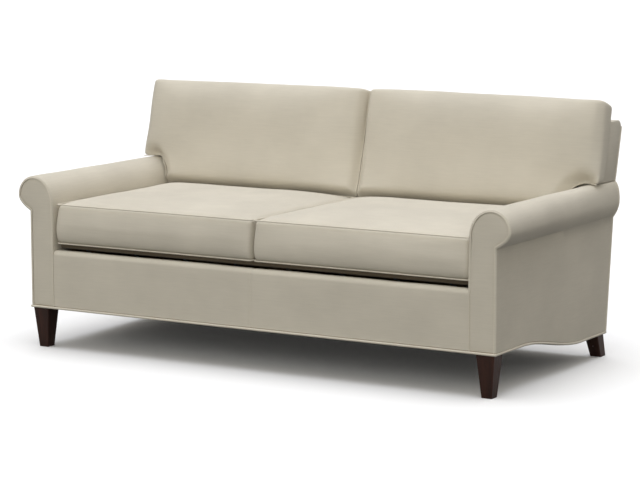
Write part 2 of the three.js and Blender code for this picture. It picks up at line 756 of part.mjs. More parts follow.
// Sinuous springs, front rail to rear rail: a flat wave of wire arched up a little at mid span
function sinuousSpring() {
  const startY = frontRailY + springFrontInset;
  const endY = rearRailRearY - springRearInset;
  const restZ = railTop + clearance + springWireRadius;
  const route = share => new THREE.Vector3(
    springHalfWidth * Math.sin(2 * Math.PI * springWaves * share),
    lerp(startY, endY, share),
    restZ + springArch * Math.sin(Math.PI * share)
  );
  return cord(route, springWireRadius, wireSides, springWaves * stepsPerWave);
}
const springShape = sinuousSpring();
for (let i = 0; i < springCount; i++) {
  const spring = piece(`seat_spring_${i + 1}`, springShape, steel);
  spring.position.x = railEndX * (2 * (i + 0.5) / springCount - 1);
}

// Dust cover: thin cloth under the frame that follows the ogee and is cut round the legs
function dustCover() {
  const front = frontRailY + clearance;
  const rear = rearRailRearY - clearance;
  const upper = [[front, skirt(front) - clearance]];
  for (let i = 0; i <= ogeeSegments; i++) {
    const y = lerp(ogeeStart, ogeeEnd, i / ogeeSegments);
    upper.push([y, skirt(y) - clearance]);
  }
  upper.push([rear, skirt(rear) - clearance]);
  const lower = upper.map(([y, z]) => [y, z - dustCoverThickness]).reverse();
  const half = bodyHalf - dustCoverHem;
  const cutOut = (x, y, width) => toSolid(board(
    x - width / 2 - dustCoverLegGap, x + width / 2 + bodyHalf - half + dustCoverLegGap,
    y - width / 2 - dustCoverLegGap, y + width / 2 + dustCoverLegGap,
    0, frontLegHeight + overrun
  ));
  const frontCut = cutOut(frontLegX, frontLegSetback, frontLegTopWidth);
  const rearCut = cutOut(rearLegX, rearLegY, rearLegTopWidth);
  return [frontCut, rearCut].reduce(
    (sheet, cut) => sheet.subtract(cut).subtract(cut.scale([-1, 1, 1])),
    toSolid(alongX(outline([...upper, ...lower]), -half, half))
  );
}
piece('dust_cover', toGeometry(dustCover()), cambric);

// A soft block: a grid of faces round a unit box, each point moved by a rule in shares of the box
function softBlock(grid, place) {
  const geometry = new THREE.BoxGeometry(1, 1, 1, ...grid);
  const position = geometry.attributes.position;
  for (let i = 0; i < position.count; i++) {
    const shares = [position.getX(i) + 0.5, position.getY(i) + 0.5, position.getZ(i) + 0.5];
    position.setXYZ(i, ...place(...shares));
  }
  return toSolid(geometry);
}

const dome = (share, power) => 1 - Math.abs(2 * share - 1) ** power;
const crownPower = 6;
const swellPower = 3;

// Seat cushion over the right seat: flat underneath, crowned on top, boxing swelled between its welts
const seatX0 = seatSideGap;
const seatX1 = halfOpening - seatSideGap;
const seatRearY = insideFace(seatBottom) - seatRearGap;
const seatTop = (u, v) => seatEdge + seatCrown * dome(u, crownPower) * dome(v, crownPower);
const seatBlock = (inset, grid) => softBlock(grid, (u, v, w) => {
  const swell = seatBulge * Math.sin(Math.PI * w);
  const outward = share => (share === 0 ? -swell : 0) + (share === 1 ? swell : 0);
  const pullX = (1 - 2 * u) * seatDrawIn * dome(v, 2);
  const pullY = (1 - 2 * v) * seatDrawIn * dome(u, 2);
  return [
    lerp(seatX0 + inset, seatX1 - inset, u) + pullX + outward(u),
    lerp(seatSetback + inset, seatRearY - inset, v) + pullY + outward(v),
    w === 1 ? seatTop(u, v) - inset : lerp(seatBottom + inset, seatEdge - inset, w),
  ];
});
const zipZ = (seatBottom + seatEdge) / 2;
const seatZipSlot = board(
  seatX0 + zipMargin, seatX1 - zipMargin,
  seatRearY - 2 * seatWrap, seatRearY + overrun,
  zipZ - zipWidth / 2, zipZ + zipWidth / 2
);
const seatFoam = seatBlock(seatWrap, seatCoreGrid);
const seatCover = seatBlock(0, seatGrid)
  .subtract(seatBlock(seatWrap - clearance, seatCoreGrid))
  .subtract(toSolid(seatZipSlot));

// Back cushion over the right seat. Its outline lies in the raked plane of the inside back: straight up
// the arm, round the roll, out along the ear and up to the rounded upper corner.
const rakeSine = Math.sin(THREE.MathUtils.degToRad(insideRakeAngle));
const rakeCosine = Math.cos(THREE.MathUtils.degToRad(insideRakeAngle));
const backX0 = backCushionGap;
const earX = bodyHalf + earReach;
const earZ = armHeight + earGap;
const contactRise = (seatEdge + backRestGap - (insideBack - seatRearY) * slope(insideRakeAngle)
  + armHeight * slope(insideRakeAngle) ** 2) * rakeCosine ** 2;
const backTopZ = contactRise + backCushionLength * rakeCosine;

function outerEdge() {
  const lowX = halfOpening - backCushionGap;
  const hollowZ = earZ - earHollowHeight;
  const path = new THREE.Path();
  path.moveTo(lowX, contactRise);
  path.lineTo(lowX, hollowZ);
  path.absellipse(
    lowX + earHollowWidth, hollowZ, earHollowWidth, earHollowHeight, Math.PI, Math.PI / 2, true, 0
  );
  path.lineTo(earX - earCornerRadius, earZ);
  path.absarc(earX - earCornerRadius, earZ + earCornerRadius, earCornerRadius, -Math.PI / 2, 0, false);
  path.lineTo(earX, backTopZ - backCornerRadius);
  path.absarc(
    earX - backCornerRadius, backTopZ - backCornerRadius, backCornerRadius, 0, Math.PI / 2, false
  );
  return path;
}

// How much of its thickness tilts each level of the cushion: all of it at both ends, none at the ear
const earLevelShares = [0.25, 0.5];
const tilt = share => 1 - smoothstep(share, 0, earLevelShares[0]) + smoothstep(share, earLevelShares[1], 1);

// Above the roll the cushion thickens towards its top, and its top front edge is rounded
const shoulderShares = [0.25, 0.8];
const shoulderInnerShare = 0.14;
const roundingPower = 24;
const shoulder = (u, w) => backCushionShoulder
  * smoothstep(w, ...shoulderShares) * smoothstep(u, 0, shoulderInnerShare)
  - backCushionRounding * w ** roundingPower;

const backEdge = outerEdge();
const backBlock = (inset, grid) => {
  const middleX = (backX0 + halfOpening) / 2;
  const middleZ = (contactRise + backTopZ) / 2;
  const shrinkX = 1 - inset / (middleX - backX0);
  const shrinkZ = 1 - inset / (middleZ - contactRise);
  return softBlock(grid, (u, v, w) => {
    const edge = backEdge.getPoint(w);
    const x = lerp(backX0, edge.x, u);
    const crowned = lerp(lerp(contactRise, backTopZ, w), edge.y, u)
      + backCushionTopCrown * dome(u, crownPower) * w ** 2;
    const frontY = insideFace(contactRise) - backCushionEdge * rakeCosine;
    const frontZ = contactRise + backCushionEdge * rakeSine;
    const under = seatTop((x - seatX0) / (seatX1 - seatX0), (frontY - seatSetback) / (seatRearY - seatSetback));
    const lift = Math.max(0, under + backRestGap - frontZ) * (1 - w);
    const z = middleZ + (crowned + lift - middleZ) * shrinkZ;
    const thickness = backCushionEdge - 2 * inset + shoulder(u, w)
      + backCushionCrown * dome(u, swellPower) * dome(w, swellPower);
    const standOff = clearance + inset + thickness * (1 - v);
    return [
      middleX + (x - middleX) * shrinkX,
      insideFace(z) - standOff * rakeCosine,
      z + standOff * rakeSine * tilt(w),
    ];
  });
};
const zipY = insideFace(contactRise) - backCushionEdge / 2;
const backZipSlot = board(
  backX0 + zipMargin, halfOpening - zipMargin,
  zipY - zipWidth / 2, zipY + zipWidth / 2,
  contactRise - overrun, contactRise + backCushionEdge * rakeSine / 2 + 2 * backWrap
);
const backFill = backBlock(backWrap, backCoreGrid);
const backCushion = backBlock(0, backGrid)
  .subtract(backBlock(backWrap - clearance, backCoreGrid))
  .subtract(toSolid(backZipSlot));

const cushionPieces = {
  seat_cushion: [seatCover, fabric],
  seat_foam: [seatFoam, foam],
  back_cushion: [backCushion, fabric],
  back_fill: [backFill, foam],
};

// Each half is the mirror image of the other
for (const [side, sign] of [['right', 1], ['left', -1]]) {
  const half = new THREE.Group();
  half.scale.x = sign;
  sofa.add(half);
  for (const [name, [solid, material]] of Object.entries({ ...armPieces, ...cushionPieces })) {
    piece(`${name}_${side}`, toGeometry(solid), material, half);
  }
}

// The front face was y = 0 until here; the origin goes under the middle of the whole sofa
const bounds = new THREE.Box3().setFromObject(sofa, true);
sofa.position.y = -(bounds.min.y + bounds.max.y) / 2;

export default sofa;
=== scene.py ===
import json
import math

import bmesh
import bpy
from mathutils import Matrix, Vector, noise
from mathutils.bvhtree import BVHTree
from mathutils.geometry import interpolate_bezier


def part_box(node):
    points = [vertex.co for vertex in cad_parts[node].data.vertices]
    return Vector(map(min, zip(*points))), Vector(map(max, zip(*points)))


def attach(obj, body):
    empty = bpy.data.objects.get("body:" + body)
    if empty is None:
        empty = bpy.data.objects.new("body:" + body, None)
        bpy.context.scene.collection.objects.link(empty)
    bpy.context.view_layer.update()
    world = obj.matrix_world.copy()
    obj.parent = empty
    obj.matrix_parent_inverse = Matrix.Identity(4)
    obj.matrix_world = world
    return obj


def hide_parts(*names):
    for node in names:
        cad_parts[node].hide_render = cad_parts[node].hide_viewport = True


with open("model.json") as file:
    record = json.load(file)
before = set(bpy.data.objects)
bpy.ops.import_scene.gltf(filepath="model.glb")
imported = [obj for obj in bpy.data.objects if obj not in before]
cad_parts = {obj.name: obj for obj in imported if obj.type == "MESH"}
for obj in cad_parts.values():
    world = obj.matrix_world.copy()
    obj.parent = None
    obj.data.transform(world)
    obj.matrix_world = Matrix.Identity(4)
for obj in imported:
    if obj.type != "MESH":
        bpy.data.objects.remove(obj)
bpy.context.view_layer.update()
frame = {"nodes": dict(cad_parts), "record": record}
scene = bpy.context.scene
sides = (("right", 1), ("left", -1))

# Lengths in metres and angles in degrees. Depths are measured back from the front of the arms.
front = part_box("arm_facing_right")[0].y
gap = 0.0003  # between pieces that lie against each other

arm = {
    "inner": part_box("arm_cover_right")[0].x,
    "outer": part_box("back_cover")[1].x,
    "overhang": 0.052,
    "rearOverhang": 0.02,
    "top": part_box("arm_cover_right")[1].z,
    "roll": 0.071,
    "shoulder": 0.095,
    "notch": 0.128,
    "tail": 0.028,
    "sheet": 0.006,
    "facing": 0.006,
}
arm["edge"] = arm["outer"] + arm["overhang"]

back = {
    "depth": 0.864,
    "lowRake": 6.8,
    "highRake": 14.6,
    "insideRake": 16.0,
    "thickness": 0.126,
    "top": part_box("back_cover")[1].z,
    "round": 0.026,
    "panel": 0.005,
    "weltRadius": 0.0028,
}

base = {
    "front": 0.146,
    "rear": 0.086,
    "ogee": (0.195, 0.66),
    "cord": 0.005,
    "cordRadius": 0.0044,
    "cordProud": 0.003,
}

kappa = 0.5523  # handle length that turns a bezier into a quarter circle
roundSteps = 12


def mix(a, b, share):
    return a + (b - a) * share


def smooth(share):
    share = min(1.0, max(0.0, share))
    return share * share * (3 - 2 * share)


def slope(degrees):
    return math.tan(math.radians(degrees))


# Lower edge of the base at a depth: an ogee between the tall front and short rear legs
def skirt(depth):
    low, high = base["ogee"]
    return mix(base["front"], base["rear"], smooth((depth - low) / (high - low)))


def rearFace(z):
    low = min(z, arm["top"]) - base["rear"]
    high = max(0.0, z - arm["top"])
    return back["depth"] + slope(back["lowRake"]) * low + slope(back["highRake"]) * high


def insideFace(z):
    return rearFace(arm["top"]) - back["thickness"] + slope(back["insideRake"]) * (z - arm["top"])


# Past the outside face the roll narrows to the rear
def narrowed(x, depth):
    out = max(0.0, x - arm["outer"])
    return x - out * (1 - arm["rearOverhang"] / arm["overhang"]) * depth / rearFace(arm["top"])


# Arm's roll seen from the front, as (x, z): notch, underside, outer half, inner half
def rollProfile(inset=0.0):
    angle = math.atan2(arm["tail"], arm["edge"] - arm["outer"])
    lift = inset * (1 - math.sin(angle)) / math.cos(angle)
    edge, top = arm["edge"] - inset, arm["top"] - inset
    centreX = arm["edge"] - arm["roll"]
    centreZ = arm["top"] - arm["roll"]
    shoulderZ = arm["top"] - arm["shoulder"]
    inner = arm["inner"] + inset
    notch = Vector((arm["outer"] - inset, arm["top"] - arm["notch"] + lift))
    control = Vector((edge, notch.y + arm["tail"]))
    outer = Vector((edge, centreZ))
    crown = Vector((centreX, top))
    shoulder = Vector((inner, shoulderZ))
    turns = [
        (notch, notch.lerp(control, 2 / 3), outer.lerp(control, 2 / 3), outer),
        (outer, Vector((edge, mix(centreZ, top, kappa))), Vector((mix(centreX, edge, kappa), top)), crown),
        (crown, Vector((mix(centreX, inner, kappa), top)),
         Vector((inner, mix(shoulderZ, top, kappa))), shoulder),
    ]
    points = [notch]
    for turn in turns:
        points += interpolate_bezier(*turn, roundSteps)[1:]
    return [(p.x, p.y) for p in points]


def nodeTree(name):
    material = bpy.data.materials.new(name)
    material.use_nodes = True
    tree = material.node_tree
    tree.nodes.clear()
    output = tree.nodes.new("ShaderNodeOutputMaterial")
    shader = tree.nodes.new("ShaderNodeBsdfPrincipled")
    tree.links.new(shader.outputs[0], output.inputs["Surface"])
    return material, tree, shader


# Adds a node; a value that is a socket is linked, and any other value is set on the input
def node(tree, kind, inputs=None, **settings):
    made = tree.nodes.new("ShaderNode" + kind)
    for key, value in settings.items():
        setattr(made, key, value)
    for key, value in (inputs or {}).items():
        if isinstance(value, bpy.types.NodeSocket):
            tree.links.new(value, made.inputs[key])
        else:
            made.inputs[key].default_value = value
    return made


def maths(tree, operation, a, b=0.0):
    return node(tree, "Math", {0: a, 1: b}, operation=operation).outputs[0]


def ramp(tree, factor, low, high, fromLow=0.0, fromHigh=1.0):
    return node(tree, "MapRange", {
        "Value": factor, "From Min": fromLow, "From Max": fromHigh, "To Min": low, "To Max": high,
    }).outputs[0]


def blendColour(tree, factor, a, b, kind="MIX"):
    made = node(tree, "Mix", {"Factor": factor}, data_type="RGBA", blend_type=kind)
    for socket, value in ((made.inputs[6], a), (made.inputs[7], b)):
        if isinstance(value, bpy.types.NodeSocket):
            tree.links.new(value, socket)
        else:
            socket.default_value = value
    return made.outputs[2]


def shade(colour, factor):
    return (*[channel * factor for channel in colour], 1)


# Woven cloth: threads over and under each other on whichever plane the surface lies nearest to
def cloth(name, colour, pitch, depth=0.35, rough=0.92, turned=0.0, mottle=0.08):
    material, tree, shader = nodeTree(name)
    place = node(tree, "TexCoord")
    turn = node(tree, "Mapping", {"Vector": place.outputs["Object"], "Rotation": (turned, turned, turned)})
    wobble = node(tree, "TexNoise", {"Vector": turn.outputs[0], "Scale": 60, "Detail": 2, "Roughness": 0.6})
    shift = node(tree, "VectorMath", {0: wobble.outputs["Color"], "Scale": pitch * 1.4}, operation="SCALE")
    moved = node(tree, "VectorMath", {0: turn.outputs[0], 1: shift.outputs[0]}, operation="ADD")
    axis = node(tree, "SeparateXYZ", {0: moved.outputs[0]}).outputs
    facing = node(tree, "VectorMath", {0: place.outputs["Normal"]}, operation="ABSOLUTE")
    facing = node(tree, "SeparateXYZ", {0: facing.outputs[0]}).outputs
    waves = [maths(tree, "SINE", maths(tree, "MULTIPLY", a, 2 * math.pi / pitch)) for a in axis]
    height = None
    for i in range(3):
        across, along = waves[(i + 1) % 3], waves[(i + 2) % 3]
        plain = maths(tree, "MULTIPLY", across, along)
        weight = maths(tree, "POWER", facing[i], 4.0)
        part = maths(tree, "MULTIPLY", plain, weight)
        height = part if height is None else maths(tree, "ADD", height, part)
    stretched = node(tree, "Mapping", {"Vector": place.outputs["Object"], "Scale": (14, 14, 240)})
    slub = node(tree, "TexNoise", {"Vector": stretched.outputs[0], "Scale": 1.0, "Detail": 3})
    cloudy = node(tree, "TexNoise", {"Vector": place.outputs["Object"], "Scale": 5.0, "Detail": 3})
    tone = maths(tree, "ADD", ramp(tree, cloudy.outputs[0], -mottle, mottle, 0.3, 0.7),
                 ramp(tree, slub.outputs[0], -mottle / 2, mottle / 2, 0.3, 0.7))
    # Raised threads are painted lighter and sunken ones darker: painted shade in the weave, on top of the
    # random tone
    tone = maths(tree, "ADD", tone, ramp(tree, height, -0.06, 0.05, -1.0, 1.0))
    shader.inputs["Sheen Weight"].default_value = 0.12
    shader.inputs["Sheen Roughness"].default_value = 0.5
    shader.inputs["Specular IOR Level"].default_value = 0.25
    share = ramp(tree, tone, 0.0, 1.0, -0.5, 0.5)
    toned = blendColour(tree, share, shade(colour, 0.72), shade(colour, 1.28))
    tree.links.new(toned, shader.inputs["Base Color"])
    tree.links.new(ramp(tree, height, rough - 0.05, rough + 0.05, -1.0, 1.0), shader.inputs["Roughness"])
    bump = node(tree, "Bump", {"Height": height, "Strength": depth, "Distance": pitch * 0.3})
    tree.links.new(bump.outputs[0], shader.inputs["Normal"])
    return material


# Straight-grained wood, its grain running along one axis
def wood(name, dark, light, grain, rough, coat=0.0, gloss=0.5):
    material, tree, shader = nodeTree(name)
    place = node(tree, "TexCoord")
    stretch = [14.0, 14.0, 14.0]
    stretch[grain] = 0.9
    mapped = node(tree, "Mapping", {"Vector": place.outputs["Object"], "Scale": stretch})
    rings = node(tree, "TexNoise", {
        "Vector": mapped.outputs[0], "Scale": 3.0, "Detail": 6, "Distortion": 0.6,
    })
    stretch = [160.0, 160.0, 160.0]
    stretch[grain] = 7.0
    mapped = node(tree, "Mapping", {"Vector": place.outputs["Object"], "Scale": stretch})
    pores = node(tree, "TexNoise", {"Vector": mapped.outputs[0], "Scale": 2.0, "Detail": 4})
    tone = maths(tree, "ADD", ramp(tree, rings.outputs[0], 0.0, 0.8, 0.3, 0.7),
                 ramp(tree, pores.outputs[0], -0.2, 0.2, 0.3, 0.7))
    tree.links.new(blendColour(tree, tone, shade(dark, 1), shade(light, 1)), shader.inputs["Base Color"])
    roughness = ramp(tree, pores.outputs[0], rough - 0.08, rough + 0.1, 0.3, 0.7)
    tree.links.new(roughness, shader.inputs["Roughness"])
    shader.inputs["Coat Weight"].default_value = coat
    shader.inputs["Specular IOR Level"].default_value = gloss
    bump = node(tree, "Bump", {"Height": pores.outputs[0], "Strength": 0.15, "Distance": 0.0004})
    tree.links.new(bump.outputs[0], shader.inputs["Normal"])
    return material


def wire(name):
    material, tree, shader = nodeTree(name)
    place = node(tree, "TexCoord")
    drawn = node(tree, "TexNoise", {"Vector": place.outputs["Object"], "Scale": 320.0, "Detail": 2})
    tone = blendColour(tree, drawn.outputs[0], (0.3, 0.3, 0.31, 1), (0.62, 0.62, 0.64, 1))
    tree.links.new(tone, shader.inputs["Base Color"])
    tree.links.new(ramp(tree, drawn.outputs[0], 0.28, 0.5), shader.inputs["Roughness"])
    shader.inputs["Metallic"].default_value = 1.0
    return material


greige = (0.62, 0.576, 0.485)
finish = {
    "fabric": cloth("greigeCloth", greige, 0.0016),
    # The welt cloth is the greige painted a tenth lighter, a painted highlight along every welt cord
    "welt_fabric": cloth("greigeBiasClothPaintedHighlight", shade(greige, 1.1)[:3], 0.0016, turned=0.78),
    "decking": cloth("platformCloth", (0.12, 0.095, 0.065), 0.0022),
    "cambric": cloth("blackCambric", (0.012, 0.012, 0.013), 0.0012, depth=0.2),
    "strap_cloth": cloth("webbing", (0.5, 0.45, 0.36), 0.003, depth=0.6),
    "foam": cloth("foamAndFibre", (0.72, 0.66, 0.48), 0.004, depth=0.5),
    "dark_wood": wood("espressoWood", (0.015, 0.0058, 0.0036), (0.04, 0.0148, 0.0092), 2, 0.5,
                      coat=0.02, gloss=0.12),
    "frame_wood": wood("frameHardwood", (0.38, 0.24, 0.12), (0.6, 0.42, 0.24), 0, 0.65),
    "steel": wire("drawnWire"),
}

slotOf = {row["node"]: row["material_slot"] for row in frame["record"]["subparts"]}
for name, part in frame["nodes"].items():
    part.data.materials.clear()
    part.data.materials.append(finish[slotOf[name]])
print("materials ready")


def addPiece(name, bm, slot, body, replaced=(), smoothAngle=50):
    mesh = bpy.data.meshes.new(name)
    bmesh.ops.remove_doubles(bm, verts=bm.verts, dist=1e-6)
    bmesh.ops.recalc_face_normals(bm, faces=bm.faces)
    for face in bm.faces:
        face.smooth = True
    for edge in bm.edges:
        edge.smooth = not (len(edge.link_faces) == 2 and edge.calc_face_angle() > math.radians(smoothAngle))
    bm.to_mesh(mesh)
    bm.free()
    made = bpy.data.objects.new(name, mesh)
    scene.collection.objects.link(made)
    mesh.materials.append(finish[slot])
    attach(made, body)
    if replaced:
        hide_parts(*replaced)
    return made


# Starts a bmesh from a chain of points
def chain(points, closed=False):
    bm = bmesh.new()
    verts = [bm.verts.new(p) for p in points]
    for a, b in zip(verts, verts[1:]):
        bm.edges.new((a, b))
    if closed:
        bm.edges.new((verts[-1], verts[0]))
    return bm


def vertsOf(geometry):
    return [v for v in geometry if isinstance(v, bmesh.types.BMVert)]


# Pulls a chain into a sheet in equal steps
def pull(bm, along, steps):
    edges = bm.edges[:]
    for _ in range(steps):
        made = bmesh.ops.extrude_edge_only(bm, edges=edges)["geom"]
        edges = [e for e in made if isinstance(e, bmesh.types.BMEdge)]
        bmesh.ops.translate(bm, verts=vertsOf(made), vec=Vector(along) / steps)


def mirrored(bm, sign):
    if sign < 0:
        bmesh.ops.scale(bm, vec=(-1, 1, 1), verts=bm.verts)
    return bm


# A round cord along a line of points, added to a bmesh
def addCord(bm, points, radius, closed=False):
    curve = bpy.data.curves.new("cord", "CURVE")
    curve.dimensions = "3D"
    curve.bevel_depth = radius
    curve.bevel_resolution = 3
    curve.use_fill_caps = not closed
    spline = curve.splines.new("POLY")
    spline.points.add(len(points) - 1)
    for point, co in zip(spline.points, points):
        point.co = (*co, 1)
    spline.use_cyclic_u = closed
    holder = bpy.data.objects.new("cord", curve)
    mesh = holder.to_mesh()
    bm.from_mesh(mesh)
    holder.to_mesh_clear()
    bpy.data.objects.remove(holder)
    bpy.data.curves.remove(curve)


# Slow unevenness of padding under cloth
def soften(bm, amount, size, seed, keep=lambda co: 1.0):
    for v in bm.verts:
        wave = noise.noise(v.co / size + Vector((seed, 0, 0)))
        v.co += v.normal * wave * amount * keep(v.co)


cover = {"rows": 44, "lipRows": 5, "lip": 0.006, "setback": 0.0008, "slack": 0.0016}
facing = {
    "inset": 0.0098,
    "start": 0.0034,
    "dome": ((0.004, 0.0014), (0.007, 0.001), (0.012, 0.0006)),
    "weltInset": 0.0074,
    "weltSlim": 0.0026,
    "weltRadius": 0.0023,
    "weltDepth": 0.0016,
}
foot = base["front"] + 2 * base["cord"] + gap


# The arm's outline from its hem outside, over the roll and down inside, moved in by inset
def armLine(inset, hem, low):
    roll = rollProfile(inset)
    outside = [(roll[0][0], mix(hem, roll[0][1], i / 12)) for i in range(12)]
    slim = max(0.0, inset - facing["weltSlim"])
    inside = [(roll[-1][0] - slim * smooth(i / 3), mix(roll[-1][1], low, i / 10)) for i in range(1, 11)]
    return outside + roll + inside


# One row of the arm's cover; the first rows turn the corner onto the front
def armRow(row, low):
    turn = math.pi / 2 * min(1, row / cover["lipRows"])
    share = max(0, row - cover["lipRows"]) / (cover["rows"] - cover["lipRows"])
    start = cover["setback"] + cover["lip"] * (1 - math.cos(turn))
    hem = skirt(mix(start, rearFace(base["rear"]), share)) + 2 * base["cord"] + gap
    points = []
    for x, z in armLine(cover["lip"] * (1 - math.sin(turn)), hem, low):
        depth = mix(start, rearFace(z) - back["panel"] - gap, share)
        points.append((narrowed(x, depth), front + depth, z))
    return points


# Inside face, roll and outside face in one sheet, its rear edge on the raked back and its hem on the ogee
def buildArmCover(side, sign):
    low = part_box("front_rail")[1].z + 2 * gap
    rows = [armRow(row, low) for row in range(cover["rows"] + 1)]
    bm = chain([(i, 0, 0) for i in range(len(rows[0]))])
    pull(bm, (0, cover["rows"], 0), cover["rows"])
    for v in bm.verts:
        v.co = rows[round(v.co.y)][round(v.co.x)]
    bmesh.ops.recalc_face_normals(bm, faces=bm.faces)
    if max(bm.faces, key=lambda face: face.calc_center_median().z).normal.z < 0:
        bmesh.ops.reverse_faces(bm, faces=bm.faces)
    bm.normal_update()
    notch = arm["top"] - arm["notch"]

    def free(co):
        depth = co.y - front
        ends = smooth((depth - cover["lip"]) / 0.06) * smooth((rearFace(co.z) - depth) / 0.06)
        seams = smooth(abs(co.z - notch) / 0.05) if co.x > arm["outer"] - 0.001 else 1.0
        return ends * seams * smooth((co.z - skirt(depth) - 2 * base["cord"]) / 0.05)

    soften(bm, cover["slack"], 0.17, sign * 3.1, free)
    bmesh.ops.solidify(bm, geom=bm.faces[:], thickness=arm["sheet"] - gap)
    mirrored(bm, sign)
    addPiece(f"armCover.{side}", bm, "fabric", "frame", (f"arm_cover_{side}", f"arm_padding_{side}"))


# Padded keyhole panel: each inset raises its middle a little more
def buildFacing(side, sign):
    bm = bmesh.new()
    rear = front + arm["facing"]
    panel = bm.faces.new([bm.verts.new((x, rear, z)) for x, z in armLine(facing["inset"], foot, foot)])
    bmesh.ops.recalc_face_normals(bm, faces=bm.faces)
    if panel.normal.y > 0:
        bmesh.ops.reverse_faces(bm, faces=[panel])
    made = bmesh.ops.extrude_face_region(bm, geom=[panel], use_keep_orig=True)["geom"]
    bmesh.ops.translate(bm, verts=vertsOf(made), vec=(0, facing["start"] - arm["facing"], 0))
    middle = [f for f in made if isinstance(f, bmesh.types.BMFace)]
    for thickness, depth in facing["dome"]:
        bmesh.ops.inset_region(bm, faces=middle, thickness=thickness, depth=depth, use_even_offset=True)
    mirrored(bm, sign)
    addPiece(f"armFacing.{side}", bm, "fabric", "frame", (f"arm_facing_{side}",), 60)


def buildFacingWelt(side, sign):
    y = front + facing["weltDepth"]
    bm = bmesh.new()
    addCord(bm, [(x, y, z) for x, z in armLine(facing["weltInset"], foot, foot)], facing["weltRadius"])
    mirrored(bm, sign)
    addPiece(f"armWelt.{side}", bm, "welt_fabric", "frame", (f"arm_facing_welt_{side}",))


for side, sign in sides:
    buildArmCover(side, sign)
    buildFacing(side, sign)
    buildFacingWelt(side, sign)
print("arms ready")


border = {
    "top": 0.36,
    "setback": 0.002,
    "round": 0.018,
    "lap": 0.034,
    "seam": 0.0032,
    "seamWidth": 0.0045,
    "slack": 0.0014,
    "thickness": 0.008,
    "steps": 120,
}


def buildBorder():
    half = arm["inner"] - gap
    y = front + border["setback"]
    rise = [(y, mix(foot, border["top"] - border["round"], i / 8)) for i in range(9)]
    corner = Vector((y, border["top"] - border["round"])), Vector((y + border["round"], border["top"]))
    turn = interpolate_bezier(
        corner[0], Vector((y, mix(corner[0].y, corner[1].y, kappa))),
        Vector((mix(corner[1].x, y, kappa), border["top"])), corner[1], 8)
    line = rise + [(p.x, p.y) for p in turn[1:]] + [(y + border["lap"], border["top"] - 0.001)]
    bm = chain([(-half, a, b) for a, b in line])
    pull(bm, (2 * half, 0, 0), border["steps"])
    bmesh.ops.recalc_face_normals(bm, faces=bm.faces)
    if bm.faces[:][0].normal.y > 0:
        bmesh.ops.reverse_faces(bm, faces=bm.faces)
    bm.normal_update()
    for v in bm.verts:
        share = v.co.x / half
        v.co.x = half * (0.3 * share + 0.7 * share ** 3)  # closer rows near the seam
        v.co -= v.normal * border["seam"] * math.exp(-(v.co.x / border["seamWidth"]) ** 2)
    bm.normal_update()
    soften(bm, border["slack"], 0.2, 7.7,
           lambda co: smooth((half - abs(co.x)) / 0.05) * smooth((co.z - foot) / 0.04))
    bmesh.ops.solidify(bm, geom=bm.faces[:], thickness=border["thickness"])
    addPiece("frontBorder", bm, "fabric", "frame", ("front_border",))


def buildBaseWelt():
    radius = base["cordRadius"]
    x = arm["outer"] + base["cordProud"] - radius
    near = radius - base["cordProud"]
    far = rearFace(base["rear"]) - near
    depths = [mix(near, far, i / 60) for i in range(61)]
    right = [(x, front + d, skirt(d) + radius) for d in depths]
    # A point just past each corner keeps the cord round along the front and rear
    right = [(x - 2 * radius, *right[0][1:])] + right + [(x - 2 * radius, *right[-1][1:])]
    left = [(-a, b, c) for a, b, c in reversed(right)]
    bm = bmesh.new()
    addCord(bm, right + left, radius, closed=True)
    addPiece("baseWelt", bm, "welt_fabric", "frame", ("base_welt",))


# A softened copy of a thin CAD solid, with its arrises rounded
def softCopy(name, source, slot, radius, segments=2):
    bm = bmesh.new()
    bm.from_mesh(frame["nodes"][source].data)
    bmesh.ops.remove_doubles(bm, verts=bm.verts, dist=1e-5)
    bmesh.ops.dissolve_limit(bm, angle_limit=math.radians(0.5), verts=bm.verts, edges=bm.edges)
    if radius:
        sharp = [e for e in bm.edges if e.calc_face_angle(0.0) > math.radians(40)]
        bmesh.ops.bevel(bm, geom=sharp, offset=radius, affect="EDGES", segments=segments, profile=0.5,
                        material=-1, clamp_overlap=True)
    return addPiece(name, bm, slot, "frame", (source,))


buildBorder()
buildBaseWelt()
softCopy("seatDeck", "seat_deck", "decking", 0.005, 3)
softCopy("dustCover", "dust_cover", "cambric", 0)
print("base ready")


backCover = softCopy("backCover", "back_cover", "fabric", 0.003)
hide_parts("back_padding")
outside = softCopy("outsideBack", "outside_back", "fabric", 0.002)
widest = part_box("outside_back")[1].x - arm["outer"]
for v in outside.data.vertices:
    out = abs(v.co.x) - arm["outer"]
    if out > 0:
        v.co.x = math.copysign(arm["outer"] + out * arm["rearOverhang"] / widest, v.co.x)


def buildBackWelt():
    radius = back["weltRadius"]
    top = back["top"] - back["round"]
    hem = base["rear"] + 2 * base["cord"]
    edge = [(arm["outer"], mix(hem, arm["top"] - arm["notch"], i / 10)) for i in range(11)]
    roll = rollProfile()
    shoulder = [p for p in roll if p[1] < arm["top"] + 1e-6][:2 * roundSteps - 1]
    line = edge + shoulder[1:]
    line += [(arm["outer"], arm["top"] + 0.001)]
    line += [(arm["outer"], mix(arm["top"], top, i / 8)) for i in range(1, 9)]
    right = [(narrowed(x, rearFace(z)), front + rearFace(z) - back["panel"], z) for x, z in line]
    right.append((right[-1][0] - 2 * radius, *right[-1][1:]))
    left = [(-x, y, z) for x, y, z in reversed(right)]
    bm = bmesh.new()
    addCord(bm, right + left, radius)
    addPiece("backWelt", bm, "welt_fabric", "frame")


buildBackWelt()
print("back ready")


